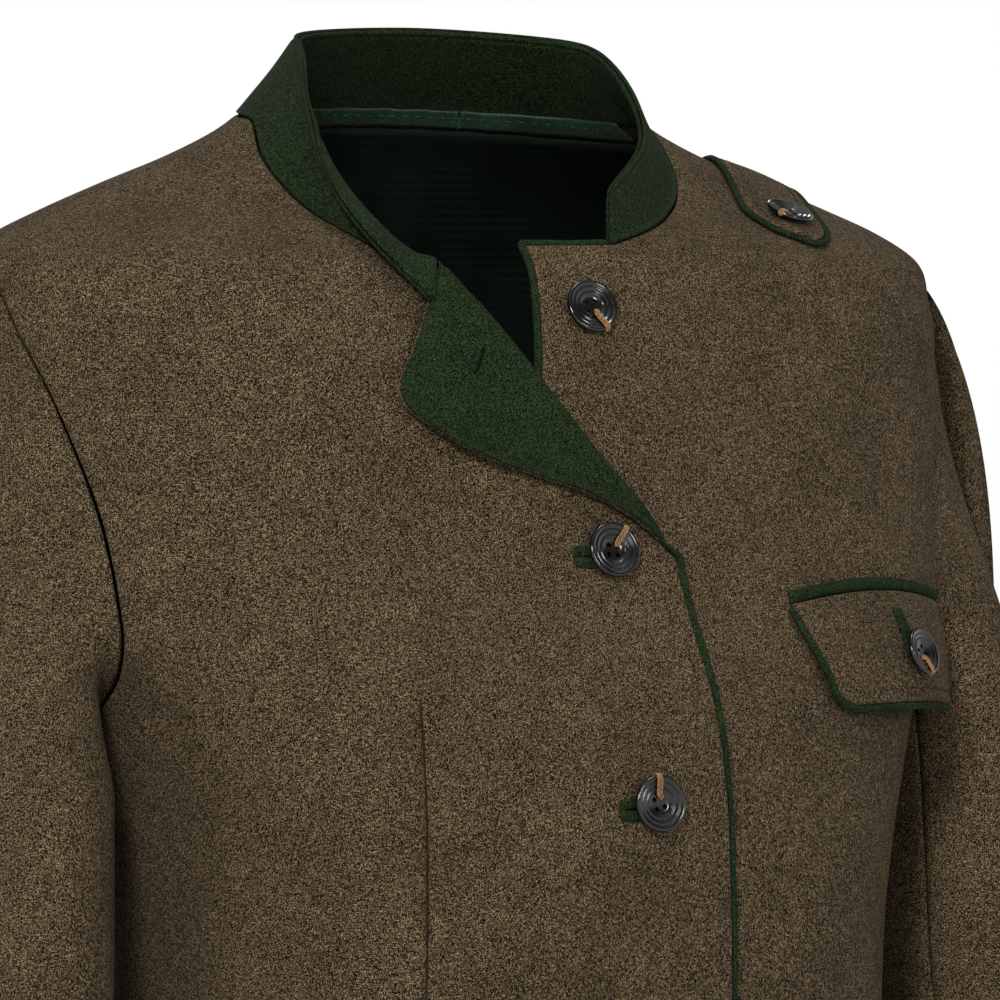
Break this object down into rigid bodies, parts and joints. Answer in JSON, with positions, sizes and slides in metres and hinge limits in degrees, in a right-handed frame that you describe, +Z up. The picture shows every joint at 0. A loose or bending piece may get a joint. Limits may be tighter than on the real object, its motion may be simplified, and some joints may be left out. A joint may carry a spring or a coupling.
{
  "type": "jacket",
  "caption": "Long-sleeved wool jacket with a stand collar, one top corner turned back as a lapel, a chest pocket flap, a shoulder tab and a buttoned front.",
  "frame": {"origin": "the middle of the neck, level with the shoulder seams' inner ends, where the wearer's neck and shoulders hold the jacket up", "axes": "+Z up; the front faces -Y; the wearer's right side is -X"},
  "size_m": [0.508, 0.2847, 0.6433],
  "materials": {
    "loden": "heathered brown-olive boiled wool, matt with a short nap",
    "green_felt": "dark green wool felt, matt",
    "satin_tape": "green satin tape, soft sheen",
    "dark_lining": "near-black green lining",
    "horn": "polished dark horn"
  },
  "bodies": {
    "root": {"front_right": "loden", "front_left": "loden", "back_left": "loden", "back_right": "loden", "sleeve_right_upper": "loden", "sleeve_right_under": "loden", "sleeve_left_upper": "loden", "sleeve_left_under": "loden", "pocket_flap": "loden", "epaulette": "loden", "collar_outer": "green_felt", "collar_inner": "green_felt", "lapel_facing": "green_felt", "front_right_piping": "green_felt", "front_left_piping": "green_felt", "pocket_welt": "green_felt", "flap_piping": "green_felt", "epaulette_piping": "green_felt", "buttonhole_2": "green_felt", "buttonhole_3": "green_felt", "buttonhole_4": "green_felt", "buttonhole_5": "green_felt", "flap_buttonhole": "green_felt", "lapel_buttonhole": "green_felt", "neck_tape_left": "satin_tape", "neck_tape_right": "satin_tape", "back_lining": "dark_lining", "front_button_1": "horn", "front_button_2": "horn", "front_button_3": "horn", "front_button_4": "horn", "front_button_5": "horn", "flap_button": "horn", "epaulette_button": "horn"}
  },
  "joints": []
}
